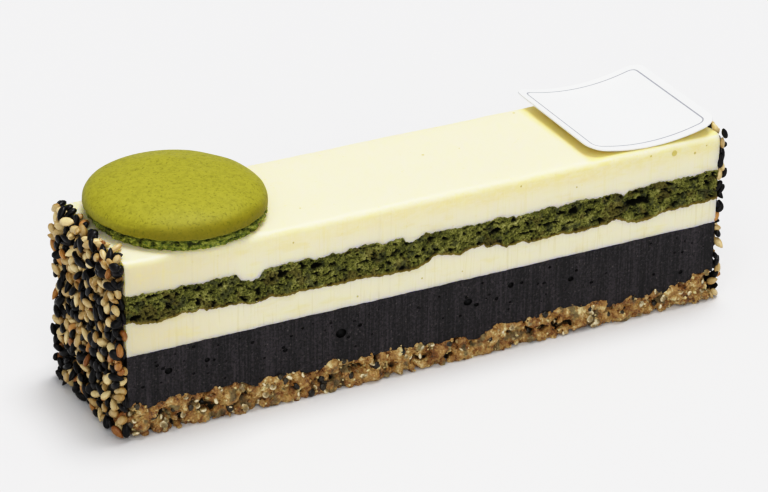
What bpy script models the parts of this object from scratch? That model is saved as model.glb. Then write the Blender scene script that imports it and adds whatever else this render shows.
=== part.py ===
# Opera cake: a knife-cut bar of five layers, sesame seeds on both cut ends,
# and on its top one green macaron shell and a small bowed paper card.
# Metres, +Z up, +X along the bar, the photographed long side faces -Y.
import math
import random

import bmesh
import bpy
from mathutils import Matrix, Vector, noise

MM = 0.001

# Driving dimensions
BAR_LENGTH = 126.5 * MM
BAR_WIDTH = 29.0 * MM
BAR_HEIGHT = 36.0 * MM
CRUNCH_TOP = 6.3 * MM
GANACHE_TOP = 17.2 * MM
SPONGE_BOTTOM = 22.5 * MM
SPONGE_TOP = 28.9 * MM
LAYER_GAP = 0.3 * MM

# Layers: fall from left to right, then bumps as (x, half width, height) in mm
SPONGE_FALL = -0.009
CRUNCH_BUMPS = ((-52, 9, 0.8), (-37.4, 1.4, -2.4), (8, 7, -0.7), (32, 6, 0.6), (46, 7, -0.9), (60, 4, 1.2))
SPONGE_UNDER_BUMPS = (
    (-57, 3.5, -0.5), (-49.5, 4, 0.4), (-37.5, 2.8, -0.6), (-33.5, 1.6, 0.5), (-8, 6, -0.5),
    (2, 3.5, 1.1), (9.5, 1.8, 0.8), (39.5, 1.6, 0.5), (46, 4, -1.1),
)
SPONGE_OVER_BUMPS = ((-38, 2.4, -1.5), (-18.5, 1.4, -0.6), (-4.5, 2.0, -0.8), (41.5, 1.4, -0.4))
CRUNCH_LIFTS = (
    (-64, 3, 1.2), (-44, 3, 0.8), (-29, 2, 0.9), (-3, 2.5, 0.8),
    (23, 3, 1.4), (35, 4.5, 2.1), (51, 2, 1.2), (64, 3, 1.0),
)
CRUNCH_TOES = 0.4 * MM
CRUNCH_ROUGH = 0.7 * MM
SPONGE_ROUGH = 0.25 * MM
CRUNCH_STEP = 1.9 * MM
SPONGE_STEP = 2.4 * MM
STEP_JITTER = 0.2
RIM = 2.6 * MM
TOP_EDGE_RADIUS = 1.3 * MM

# Hollows in the cut sides: side, x, z, radius, length against height, in mm
GANACHE_BUBBLES = (
    (-1, -55, 12.5, 0.9, 1.1), (-1, -19.5, 11.9, 1.15, 1.1), (-1, 7.7, 12.2, 0.9, 1.0),
    (-1, 30.5, 12.0, 0.75, 1.0), (-1, 17.1, 13.7, 0.7, 1.0), (1, 41, 11.6, 1.0, 1.1),
    (1, -12, 12.8, 0.8, 1.0), (1, -47, 10.9, 0.8, 1.2),
)
SPONGE_PORES = (
    (-1, 45.2, 25.6, 0.85, 2.8), (-1, 30.4, 26.6, 0.9, 1.4), (-1, -31.6, 27.0, 0.65, 1.9),
    (-1, -24.7, 27.2, 0.75, 1.8), (-1, -61.4, 24.9, 0.7, 1.7), (1, 20, 25.7, 0.85, 2.4),
    (1, -28, 26.3, 0.8, 1.5), (1, -50, 25.2, 0.7, 1.8),
)

# Sesame on the ends
SEED_LENGTH = 3.4 * MM
SEED_WIDTH = 2.05 * MM
SEED_THICKNESS = 1.2 * MM
SEED_SIDES = 5
SEED_RINGS = 3
SEED_COLUMNS = 9
SEED_ROWS = 12
COAT_THICKNESS = 0.55 * MM
COAT_MARGIN = 0.4 * MM
SEED_FIELD_MARGIN = 0.8 * MM
SEED_FLOOR = 0.12 * MM

# Macaron shell, from the bar's middle
MACARON_X = -45.6 * MM
MACARON_Y = 1.4 * MM
MACARON_OVAL = 0.022
OVAL_TURN = math.radians(-76)
DOME_RADIUS = 17.1 * MM
DOME_BASE = 2.6 * MM
DOME_RISE = 5.2 * MM
DOME_POWER = 2.6
FOOT_RADIUS = 15.8 * MM
FOOT_RUFFLE = 0.45 * MM
MACARON_SIDES = 40
DOME_STEPS = 7

# Paper card
CARD_LENGTH = 29.2 * MM
CARD_WIDTH = 32.6 * MM
CARD_THICKNESS = 0.4 * MM
CARD_CORNER = 2.4 * MM
CARD_BEND_RADIUS = 41.0 * MM
CARD_X = 48.0 * MM
CARD_Y = 2.55 * MM
CARD_LOW_LINE = -1.55 * MM
CARD_TURN = math.radians(-1.9)
CARD_STRIPS = 12

CREAM = (0.90, 0.86, 0.66)
GANACHE = (0.028, 0.025, 0.030)
CRUNCH = (0.45, 0.25, 0.10)
SPONGE = (0.10, 0.12, 0.025)
SESAME = (0.42, 0.30, 0.15)
MACARON = (0.42, 0.41, 0.05)
PAPER = (0.90, 0.90, 0.90)


def start_clean():
    for old in list(bpy.data.objects):
        bpy.data.objects.remove(old)
    cake = bpy.data.collections.new("opera_cake")
    bpy.context.scene.collection.children.link(cake)
    return cake


def finish_of(name, colour, roughness):
    material = bpy.data.materials.new(name)
    material.use_nodes = True
    shader = material.node_tree.nodes["Principled BSDF"]
    shader.inputs["Base Color"].default_value = (*colour, 1.0)
    shader.inputs["Roughness"].default_value = roughness
    shader.inputs["Metallic"].default_value = 0.0
    return material


def named_object(name, mesh, collection, material=None):
    item = bpy.data.objects.new(name, mesh)
    collection.objects.link(item)
    if material:
        mesh.materials.append(material)
    return item


def mesh_from(name, bm):
    bmesh.ops.recalc_face_normals(bm, faces=bm.faces)
    mesh = bpy.data.meshes.new(name)
    bm.to_mesh(mesh)
    bm.free()
    return mesh


def bake_modifiers(item):
    bpy.context.view_layer.update()
    graph = bpy.context.evaluated_depsgraph_get()
    baked = bpy.data.meshes.new_from_object(item.evaluated_get(graph))
    item.modifiers.clear()
    item.data = baked


def share(distance):
    # 1 at the middle of a bump, 0 from its half width on
    return 0.5 + 0.5 * math.cos(math.pi * min(1.0, abs(distance)))


def bumps(x, listed):
    return sum(height * MM * share((x - at * MM) / (half * MM)) for at, half, height in listed)


def two_sided(x, y, listed):
    # the photographed side has the bumps as listed, the back has them turned end for end
    front = min(1.0, max(0.0, 0.5 - y / BAR_WIDTH))
    return front * bumps(x, listed) + (1.0 - front) * bumps(-x, listed)


def grain(x, y, z, size, key):
    # smooth unevenness from -1 to 1
    raw = noise.noise(Vector((x / size + key, y / size, z / size)))
    return max(-1.0, min(1.0, 1.9 * raw))


def crunch_top(x, y):
    return CRUNCH_TOP + two_sided(x, y, CRUNCH_BUMPS) + CRUNCH_ROUGH * grain(x, y, 0, 2.3 * MM, 3)


def sponge_under(x, y):
    even = SPONGE_BOTTOM + SPONGE_FALL * x
    return even + two_sided(x, y, SPONGE_UNDER_BUMPS) + SPONGE_ROUGH * grain(x, y, 0, 2.5 * MM, 7)


def sponge_over(x, y):
    even = SPONGE_TOP + SPONGE_FALL * x
    return even + two_sided(x, y, SPONGE_OVER_BUMPS) + SPONGE_ROUGH * grain(x, y, 0, 2.2 * MM, 11)


def crunch_floor(x, y):
    # flat on the plate inside, raised and broken along the long sides
    if abs(y) < BAR_WIDTH / 2 - RIM + 0.01 * MM:
        return 0.0
    edge = min(1.0, (abs(y) - BAR_WIDTH / 2 + RIM) / RIM)
    broken = two_sided(x, y, CRUNCH_LIFTS) + CRUNCH_ROUGH * grain(x, y, 0, 1.7 * MM, 17)
    return edge * max(CRUNCH_TOES, broken)


def stations(about):
    # uneven cuts along the bar, the same for both layers at a seam, so that they match
    draw = random.Random(5)
    count = round(BAR_LENGTH / about)
    step = BAR_LENGTH / count
    return [-BAR_LENGTH / 2 + step * (i + draw.uniform(-1, 1) * STEP_JITTER) for i in range(1, count)]


def box(length, width, low, high):
    bm = bmesh.new()
    bmesh.ops.create_cube(bm, size=1.0)
    bmesh.ops.scale(bm, verts=bm.verts, vec=(length, width, high - low))
    bmesh.ops.translate(bm, verts=bm.verts, vec=(0, 0, (low + high) / 2))
    return bm


def cut_at(bm, places, normal):
    for place in places:
        everything = bm.verts[:] + bm.edges[:] + bm.faces[:]
        point = Vector(normal) * place
        bmesh.ops.bisect_plane(bm, geom=everything, dist=1e-7, plane_co=point, plane_no=normal)


def fit_heights(bm, low, high, under, over, edge_radius):
    # a rounded top edge keeps its form
    for vert in bm.verts:
        x, y, z = vert.co
        part = (z - low) / (high - low)
        if not edge_radius or z < high - 2 * edge_radius:
            vert.co.z = under(x, y) * (1 - part) + over(x, y) * part


def roughen_sides(bm, low, high, inward, outward, key):
    # crags on the outer faces, none where the layer meets its neighbours
    for vert in bm.verts:
        x, y, z = vert.co
        below = high - low if low == 0.0 else z - low
        free = min(1.0, 4.0 * min(below, high - z) / (high - low))
        if abs(y) > BAR_WIDTH / 2 - 0.01 * MM:
            rough = grain(x, y, z, 1.9 * MM, key)
            reach = outward if rough > 0 else inward
            vert.co.y += rough * reach * free * math.copysign(1.0, y)


def split_alike(bm):
    # both faces of a seam between layers get the same diagonals, so that they never cross
    for face in list(bm.faces):
        if len(face.verts) == 4 and abs(face.normal.z) > 0.2:
            sums = [vert.co.x + vert.co.y for vert in face.verts]
            first = sums.index(min(sums))
            bmesh.utils.face_split(face, face.verts[first], face.verts[(first + 2) % 4])


def merge_flats(bm):
    bmesh.ops.dissolve_limit(bm, angle_limit=math.radians(0.3), verts=bm.verts, edges=bm.edges)


def layer(name, cake, material, step, low, high, under, over, rows=(), crags=None, edge_radius=0.0):
    bm = box(BAR_LENGTH, BAR_WIDTH, low, high)
    if edge_radius:
        rims = [e for e in bm.edges if all(v.co.z > high - 0.01 * MM for v in e.verts)]
        rims = [e for e in rims if abs(e.verts[0].co.x - e.verts[1].co.x) > 0.5 * BAR_LENGTH]
        bmesh.ops.bevel(bm, geom=rims, offset=edge_radius, segments=3, profile=0.5, affect="EDGES")
    cut_at(bm, stations(step), (1, 0, 0))
    cut_at(bm, (RIM - BAR_WIDTH / 2, BAR_WIDTH / 2 - RIM), (0, 1, 0))
    cut_at(bm, rows, (0, 0, 1))
    if crags:
        roughen_sides(bm, low, high, *crags)
    fit_heights(bm, low, high, under, over, edge_radius)
    bm.normal_update()
    split_alike(bm)
    merge_flats(bm)
    return named_object(name, mesh_from(name, bm), cake, material)


def hollow(item, listed, depth_share):
    # round holes cut into the two long sides
    cutters = bpy.data.collections.new(item.name + "_cutters")
    bpy.context.scene.collection.children.link(cutters)
    for number, (side, x, z, radius, stretch) in enumerate(listed):
        bm = bmesh.new()
        place = Vector((x * MM, side * (BAR_WIDTH / 2 + 0.1 * MM), z * MM))
        matrix = Matrix.Translation(place) @ Matrix.Diagonal((stretch, depth_share, 1, 1))
        bmesh.ops.create_icosphere(bm, subdivisions=1, radius=radius * MM, matrix=matrix)
        cutter = named_object(f"{item.name}_hole_{number}", mesh_from("hole", bm), cutters)
        cutter.hide_render = True
        cutter.display_type = "WIRE"
    carve = item.modifiers.new("holes", "BOOLEAN")
    carve.operation = "DIFFERENCE"
    carve.operand_type = "COLLECTION"
    carve.collection = cutters
    carve.solver = "EXACT"
    bake_modifiers(item)
    for cutter in list(cutters.objects):
        bpy.data.objects.remove(cutter)
    bpy.data.collections.remove(cutters)


def flat_at(height):
    return lambda x, y: height


def build_layers(cake):
    cream = finish_of("cream", CREAM, 0.45)
    layer(
        "crunch_base", cake, finish_of("crunch", CRUNCH, 0.6), CRUNCH_STEP, 0.0, CRUNCH_TOP,
        crunch_floor, crunch_top, rows=(1.7 * MM, 3.4 * MM, 5.0 * MM), crags=(1.2 * MM, 0.7 * MM, 23),
    )
    ganache = layer(
        "ganache", cake, finish_of("ganache", GANACHE, 0.5), CRUNCH_STEP, CRUNCH_TOP, GANACHE_TOP,
        lambda x, y: crunch_top(x, y) + LAYER_GAP, flat_at(GANACHE_TOP),
    )
    hollow(ganache, GANACHE_BUBBLES, 0.9)
    layer(
        "lower_cream", cake, cream, SPONGE_STEP, GANACHE_TOP, SPONGE_BOTTOM,
        flat_at(GANACHE_TOP + LAYER_GAP), lambda x, y: sponge_under(x, y) - LAYER_GAP,
    )
    sponge = layer(
        "sponge", cake, finish_of("sponge", SPONGE, 0.85), SPONGE_STEP, SPONGE_BOTTOM, SPONGE_TOP,
        sponge_under, sponge_over, rows=(24.6 * MM, 26.8 * MM), crags=(0.7 * MM, 0.2 * MM, 31),
    )
    hollow(sponge, SPONGE_PORES, 1.5)
    layer(
        "upper_cream", cake, cream, SPONGE_STEP, SPONGE_TOP, BAR_HEIGHT,
        lambda x, y: sponge_over(x, y) + LAYER_GAP, flat_at(BAR_HEIGHT), edge_radius=TOP_EDGE_RADIUS,
    )


def seed_mesh(place, turn):
    # a flattened drop: round at one end, drawn to a point at the other,
    # moved clear of the plate and of the layers where it reaches past place
    bm = bmesh.new()
    bmesh.ops.create_uvsphere(bm, u_segments=SEED_SIDES, v_segments=SEED_RINGS, radius=0.5)
    for vert in bm.verts:
        taper = 1.0 - 0.55 * max(0.0, vert.co.z + 0.1)
        vert.co.x *= SEED_WIDTH * taper
        vert.co.y *= SEED_THICKNESS * taper
        vert.co.z *= SEED_LENGTH
    bmesh.ops.transform(bm, matrix=turn, verts=bm.verts)
    inward = min(vert.co.x for vert in bm.verts)
    down = min(vert.co.z for vert in bm.verts)
    lift = max(0.0, SEED_FLOOR - place.z - down)
    bmesh.ops.translate(bm, verts=bm.verts, vec=place + Vector((-inward, 0, lift)))
    return mesh_from("seed", bm)


def keep_outer_skin(item):
    # keeps the piece of surface with the most faces, so sealed hollows are filled
    bm = bmesh.new()
    bm.from_mesh(item.data)
    left = set(bm.faces)
    islands = []
    while left:
        reached = [left.pop()]
        island = set(reached)
        while reached:
            for edge in reached.pop().edges:
                for face in edge.link_faces:
                    if face in left:
                        left.remove(face)
                        island.add(face)
                        reached.append(face)
        islands.append(island)
    biggest = max(islands, key=len)
    bmesh.ops.delete(bm, geom=[f for f in bm.faces if f not in biggest], context="FACES")
    bm.to_mesh(item.data)
    bm.free()


def sesame_end(name, cake, material, side, key):
    # built facing +X at the bar's end, then turned about Z for the other end
    draw = random.Random(key)
    inner = BAR_LENGTH / 2 + LAYER_GAP
    slab = box(COAT_THICKNESS, BAR_WIDTH - 2 * COAT_MARGIN, COAT_MARGIN, BAR_HEIGHT - COAT_MARGIN)
    bmesh.ops.translate(slab, verts=slab.verts, vec=(inner + COAT_THICKNESS / 2, 0, 0))
    coat = named_object(name, mesh_from(name, slab), cake, material)
    seeds = bpy.data.collections.new(name + "_seeds")
    bpy.context.scene.collection.children.link(seeds)
    field = BAR_WIDTH - 2 * SEED_FIELD_MARGIN
    pitch_y = field / SEED_COLUMNS
    pitch_z = (BAR_HEIGHT - SEED_FIELD_MARGIN) / SEED_ROWS
    for row in range(SEED_ROWS):
        for column in range(SEED_COLUMNS):
            stagger = 0.25 if row % 2 else -0.25
            y = (column + 0.5 + stagger + draw.uniform(-0.2, 0.2)) * pitch_y - field / 2
            z = (row + 0.5 + draw.uniform(-0.25, 0.25)) * pitch_z + SEED_FIELD_MARGIN
            raised = draw.random() < 0.15
            lean = math.radians(draw.uniform(28, 42) if raised else draw.uniform(-14, 14))
            depth = inner + draw.uniform(0.1, 0.35) * MM
            place = Vector((depth, max(-field / 2, min(field / 2, y)), z))
            lying = Matrix.Rotation(math.pi / 2, 4, "Z")
            turn = Matrix.Rotation(draw.uniform(0, math.tau), 4, "X") @ Matrix.Rotation(lean, 4, "Y") @ lying
            named_object(f"{name}_seed_{row}_{column}", seed_mesh(place, turn), seeds)
    fuse = coat.modifiers.new("seeds", "BOOLEAN")
    fuse.operation = "UNION"
    fuse.operand_type = "COLLECTION"
    fuse.collection = seeds
    fuse.solver = "EXACT"
    bake_modifiers(coat)
    for seed in list(seeds.objects):
        bpy.data.objects.remove(seed)
    bpy.data.collections.remove(seeds)
    if side < 0:
        coat.data.transform(Matrix.Rotation(math.pi, 4, "Z"))
    keep_outer_skin(coat)
    return coat


def macaron_profile():
    # radius and height from the dome's crown down its outer side to the foot's middle
    points = []
    for step in range(DOME_STEPS + 1):
        angle = math.pi / 2 * step / DOME_STEPS
        radius = DOME_RADIUS * math.sin(angle) ** (2 / DOME_POWER)
        points.append((radius, DOME_BASE + DOME_RISE * math.cos(angle) ** (2 / DOME_POWER)))
    points += [
        (DOME_RADIUS - 0.4 * MM, DOME_BASE - 0.4 * MM),
        (FOOT_RADIUS - 0.6 * MM, DOME_BASE - 0.6 * MM),
        (FOOT_RADIUS, 0.8 * MM),
        (FOOT_RADIUS - 0.3 * MM, 0.25 * MM),
        (FOOT_RADIUS - 1.2 * MM, 0.0),
        (0.0, 0.0),
    ]
    return points


def macaron_shell(cake):
    bm = bmesh.new()
    verts = [bm.verts.new((radius, 0, height)) for radius, height in macaron_profile()]
    for upper, lower in zip(verts, verts[1:]):
        bm.edges.new((upper, lower))
    mesh = bpy.data.meshes.new("macaron_shell")
    bm.to_mesh(mesh)
    bm.free()
    shell = named_object("macaron_shell", mesh, cake, finish_of("macaron", MACARON, 0.6))
    turned = shell.modifiers.new("turned", "SCREW")
    turned.steps = MACARON_SIDES
    turned.render_steps = MACARON_SIDES
    turned.use_merge_vertices = True
    turned.merge_threshold = 1e-5
    bake_modifiers(shell)
    for vert in shell.data.vertices:
        x, y, z = vert.co
        radius = math.hypot(x, y)
        angle = math.atan2(y, x)
        grown = 1 + MACARON_OVAL * math.cos(2 * (angle - OVAL_TURN))
        if 0.1 * MM < z < DOME_BASE - 0.2 * MM and radius > 0.8 * FOOT_RADIUS:
            ruffle = math.sin(13 * angle) * 0.5 + math.sin(29 * angle + 1.3) * 0.5
            grown += FOOT_RUFFLE * ruffle / radius
        vert.co = Vector((x * grown, y * grown, z))
    shell.data.shade_smooth()
    shell.data.set_sharp_from_angle(angle=math.radians(40))
    shell.location = (MACARON_X, MACARON_Y, BAR_HEIGHT + LAYER_GAP)
    return shell


def paper_card(cake):
    bm = box(CARD_LENGTH, CARD_WIDTH, 0.0, CARD_THICKNESS)
    corners = [e for e in bm.edges if abs(e.verts[0].co.z - e.verts[1].co.z) > 0.5 * CARD_THICKNESS]
    bmesh.ops.bevel(bm, geom=corners, offset=CARD_CORNER, segments=4, profile=0.5, affect="EDGES")
    cut_at(bm, [CARD_LENGTH * (i / CARD_STRIPS - 0.5) for i in range(1, CARD_STRIPS)], (1, 0, 0))
    for vert in bm.verts:
        angle = (vert.co.x - CARD_LOW_LINE) / CARD_BEND_RADIUS
        reach = CARD_BEND_RADIUS - vert.co.z
        vert.co.x = reach * math.sin(angle)
        vert.co.z = CARD_BEND_RADIUS - reach * math.cos(angle)
    card = named_object("paper_card", mesh_from("paper_card", bm), cake, finish_of("paper", PAPER, 0.5))
    card.location = (CARD_X, CARD_Y, BAR_HEIGHT + LAYER_GAP)
    card.rotation_euler = (0, 0, CARD_TURN)
    return card


def stand_at_origin(cake):
    # the origin is the middle of the whole object's footprint, on the plate
    bpy.context.view_layer.update()
    points = [item.matrix_world @ vert.co for item in cake.objects for vert in item.data.vertices]
    middle = [(min(p[axis] for p in points) + max(p[axis] for p in points)) / 2 for axis in (0, 1)]
    for item in cake.objects:
        item.location -= Vector((*middle, 0))
    print("footprint middle, mm:", [round(value / MM, 3) for value in middle])


def main():
    cake = start_clean()
    build_layers(cake)
    sesame = finish_of("sesame", SESAME, 0.5)
    sesame_end("sesame_left", cake, sesame, -1, 41)
    sesame_end("sesame_right", cake, sesame, 1, 67)
    macaron_shell(cake)
    paper_card(cake)
    stand_at_origin(cake)


main()
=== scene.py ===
import math
import random

import bpy
import numpy as np
from mathutils import Matrix, Vector, noise


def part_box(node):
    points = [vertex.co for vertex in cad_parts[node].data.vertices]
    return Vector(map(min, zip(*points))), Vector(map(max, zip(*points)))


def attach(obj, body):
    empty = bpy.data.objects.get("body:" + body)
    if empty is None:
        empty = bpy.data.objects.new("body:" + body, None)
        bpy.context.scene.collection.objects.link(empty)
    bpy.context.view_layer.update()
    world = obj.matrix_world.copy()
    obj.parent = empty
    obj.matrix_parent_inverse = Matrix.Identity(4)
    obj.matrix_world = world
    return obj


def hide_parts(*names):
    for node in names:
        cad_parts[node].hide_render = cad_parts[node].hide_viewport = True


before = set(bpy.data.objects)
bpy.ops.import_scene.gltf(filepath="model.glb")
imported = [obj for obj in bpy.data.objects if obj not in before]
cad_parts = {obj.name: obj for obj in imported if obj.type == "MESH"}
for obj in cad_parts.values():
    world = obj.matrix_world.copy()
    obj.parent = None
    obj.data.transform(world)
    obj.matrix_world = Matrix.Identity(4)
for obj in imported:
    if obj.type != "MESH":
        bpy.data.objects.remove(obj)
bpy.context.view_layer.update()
mm = 0.001

topLow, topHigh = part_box("upper_cream")
bar = {
    "middleX": (topLow.x + topHigh.x) / 2,
    "middleY": (topLow.y + topHigh.y) / 2,
    "length": topHigh.x - topLow.x,
    "width": topHigh.y - topLow.y,
    "front": topLow.y,
    "top": topHigh.z,
}


# Working tools

def clearSelection():
    if bpy.context.object and bpy.context.object.mode != "OBJECT":
        bpy.ops.object.mode_set(mode="OBJECT")
    bpy.ops.object.select_all(action="DESELECT")


def makeActive(piece):
    clearSelection()
    piece.select_set(True)
    bpy.context.view_layer.objects.active = piece


def justAdded(name):
    piece = bpy.context.object
    piece.name = name
    piece.data.name = name
    return piece


def setDown(piece):
    # place, turn and size go into the mesh
    makeActive(piece)
    bpy.ops.object.transform_apply(location=True, rotation=True, scale=True)


def change(piece, kind, **settings):
    # adds a modifier, sets it and applies it
    made = piece.modifiers.new(kind.lower(), kind)
    for key, value in settings.items():
        setattr(made, key, value)
    makeActive(piece)
    bpy.ops.object.modifier_apply(modifier=made.name)


def editAll(piece):
    # edit mode with everything selected
    makeActive(piece)
    bpy.ops.object.mode_set(mode="EDIT")
    bpy.ops.mesh.select_all(action="SELECT")


def leaveEdit():
    bpy.ops.object.mode_set(mode="OBJECT")


def pick(piece, kind, wanted):
    # edit mode with only the wanted faces, edges or points selected
    editAll(piece)
    bpy.ops.mesh.select_mode(type=kind)
    bpy.ops.mesh.select_all(action="DESELECT")
    leaveEdit()
    mesh = piece.data
    for part in {"FACE": mesh.polygons, "EDGE": mesh.edges, "VERT": mesh.vertices}[kind]:
        part.select = bool(wanted(part))
    bpy.ops.object.mode_set(mode="EDIT")


def ends(piece, edge):
    return [piece.data.vertices[number].co for number in edge.vertices]


def clamp(value):
    return max(0.0, min(1.0, value))


def readPoints(piece):
    places = np.empty(len(piece.data.vertices) * 3)
    piece.data.vertices.foreach_get("co", places)
    return places.reshape(-1, 3)


def writePoints(piece, places):
    piece.data.vertices.foreach_set("co", places.reshape(-1))
    piece.data.update()


def joinAll(name, pieces):
    makeActive(pieces[0])
    for piece in pieces[1:]:
        piece.select_set(True)
    bpy.ops.object.join()
    return justAdded(name)


def copyOf(model, move, tone):
    # a copy with its own mesh, moved by its mesh, with one tone all over
    copied = model.copy()
    copied.data = model.data.copy()
    bpy.context.scene.collection.objects.link(copied)
    copied.data.transform(move)
    note(copied, "tone", [tone] * len(copied.data.vertices))
    return copied


def dispose(pieces):
    for piece in pieces:
        bpy.data.objects.remove(piece)


def smooth(piece, crease):
    piece.data.shade_smooth()
    piece.data.set_sharp_from_angle(angle=math.radians(crease))


def note(piece, name, values):
    # a value for each point, which its material can read
    mark = piece.data.attributes.get(name) or piece.data.attributes.new(name, "FLOAT", "POINT")
    mark.data.foreach_set("value", np.asarray(values, dtype=np.float32))


def place(piece, finish, node):
    # finish, body and slot, and the solid that it stands for
    piece.data.materials.clear()
    piece.data.materials.append(finish.material)
    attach(piece, "root")
    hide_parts(node)


def fromMiddle(spot):
    # millimetres from the bar's middle, and above the table
    return (spot[0] - bar["middleX"]) / mm, (spot[1] - bar["middleY"]) / mm, spot[2] / mm


def onBar(x, y, z):
    # the place of a spot given so, in metres
    return Vector((bar["middleX"] + x * mm, bar["middleY"] + y * mm, z * mm))


def fuzz(x, y, z, size):
    # smooth unevenness from -1 to 1, with bumps of about that size
    raw = noise.noise(Vector((x, y, z)) / size)
    return max(-1.0, min(1.0, 1.9 * raw))


# Materials

class Link:
    # a node's output, and sums on it add Math nodes
    def __init__(self, finish, socket):
        self.finish = finish
        self.socket = socket

    def sum(self, operation, first, second):
        return self.finish.node("Math", {"operation": operation}, {0: first, 1: second})

    def __add__(self, other):
        return self.sum("ADD", self, other)

    def __radd__(self, other):
        return self.sum("ADD", other, self)

    def __sub__(self, other):
        return self.sum("SUBTRACT", self, other)

    def __mul__(self, other):
        return self.sum("MULTIPLY", self, other)

    def __rmul__(self, other):
        return self.sum("MULTIPLY", other, self)


class Finish:
    def __init__(self, name):
        self.material = bpy.data.materials.new(name)
        self.material.use_nodes = True
        self.tree = self.material.node_tree
        self.surface = self.tree.nodes["Principled BSDF"]

    def node(self, kind, settings, sockets, output=0):
        made = self.tree.nodes.new("ShaderNode" + kind)
        for key, value in settings.items():
            if key == "stops":
                self.fillRamp(made.color_ramp, value)
            else:
                setattr(made, key, value)
        for key, value in sockets.items():
            self.feed(made.inputs[key], value)
        return Link(self, made.outputs[output])

    def fillRamp(self, ramp, stops):
        while len(ramp.elements) < len(stops):
            ramp.elements.new(0.5)
        for element, (at, colour) in zip(ramp.elements, stops):
            element.position = at
            element.color = (*colour, 1.0)

    def feed(self, socket, value):
        if isinstance(value, Link):
            self.tree.links.new(value.socket, socket)
        elif hasattr(socket.default_value, "__len__") and len(socket.default_value) == 4:
            socket.default_value = (*value, 1.0)
        else:
            socket.default_value = value

    def spots(self, stretch=(1, 1, 1), shift=(0, 0, 0)):
        # the piece's own coordinates in millimetres
        own = self.node("TexCoord", {}, {}, "Object")
        size = tuple(value / mm for value in stretch)
        return self.node("Mapping", {}, {"Vector": own, "Scale": size, "Location": shift})

    def grain(self, size, detail=3.0, stretch=(1, 1, 1), roughness=0.55, shift=(0, 0, 0)):
        sockets = {"Vector": self.spots(stretch, shift), "Scale": 1.0 / size, "Detail": detail}
        return self.node("TexNoise", {}, {**sockets, "Roughness": roughness})

    def cells(self, size, shift=(0, 0, 0)):
        sockets = {"Vector": self.spots(shift=shift), "Scale": 1.0 / size}
        return self.node("TexVoronoi", {}, sockets, "Distance")

    def between(self, value, low, high, start=0.0, end=1.0):
        # the share that value has covered from low to high, eased at both ends
        sockets = {"Value": value, "From Min": low, "From Max": high, "To Min": start, "To Max": end}
        return self.node("MapRange", {"interpolation_type": "SMOOTHSTEP"}, sockets)

    def blend(self, share, first, second):
        return self.node("Mix", {"data_type": "RGBA"}, {0: share, 6: first, 7: second}, 2)

    def layers(self, colour, *over):
        # colours laid over one another, each by its share
        for share, shown in over:
            colour = self.blend(share, colour, shown)
        return colour

    def ramp(self, value, stops):
        return self.node("ValToRGB", {"stops": stops}, {"Fac": value})

    def axis(self, name):
        own = self.node("TexCoord", {}, {}, "Object")
        return self.node("SeparateXYZ", {}, {"Vector": own}, name) * (1 / mm)

    def facing(self, name):
        # 1 where the surface faces along that axis, either way
        own = self.node("NewGeometry", {}, {}, "Normal")
        share = self.node("SeparateXYZ", {}, {"Vector": own}, name)
        return self.node("Math", {"operation": "ABSOLUTE"}, {0: share})

    def away(self, name, at):
        # millimetres from a spot on that axis, itself counted from the bar's middle
        middle = {"X": bar["middleX"], "Y": bar["middleY"], "Z": 0.0}[name]
        return self.node("Math", {"operation": "ABSOLUTE"}, {0: self.axis(name) - (at + middle / mm)})

    def noted(self, name):
        return self.node("Attribute", {"attribute_name": name}, {}, "Fac")

    def edges(self):
        # about a half on flats, more on ridges and less in creases
        return self.node("NewGeometry", {}, {}, "Pointiness")

    def relief(self, height, depth):
        # depth in millimetres
        made = self.node("Bump", {}, {"Height": height, "Distance": depth * mm, "Strength": 1.0})
        self.feed(self.surface.inputs["Normal"], made)

    def set(self, **values):
        names = {
            "colour": "Base Color", "roughness": "Roughness", "specular": "Specular IOR Level",
            "coat": "Coat Weight", "coatRoughness": "Coat Roughness", "glow": "Subsurface Weight",
            "glowSize": "Subsurface Scale", "glowReach": "Subsurface Radius",
            "shine": "Emission Color", "shineStrength": "Emission Strength",
        }
        for key, value in values.items():
            self.feed(self.surface.inputs[names[key]], value)
        return self


def screen(red, green, blue):
    # a colour as a screen shows it, 0 to 255, to the light that it stands for
    shares = [value / 255 for value in (red, green, blue)]
    return tuple(s / 12.92 if s <= 0.04045 else ((s + 0.055) / 1.055) ** 2.4 for s in shares)


# Seams between the layers, on the photographed side, in millimetres: x from the bar's middle and height

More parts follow.
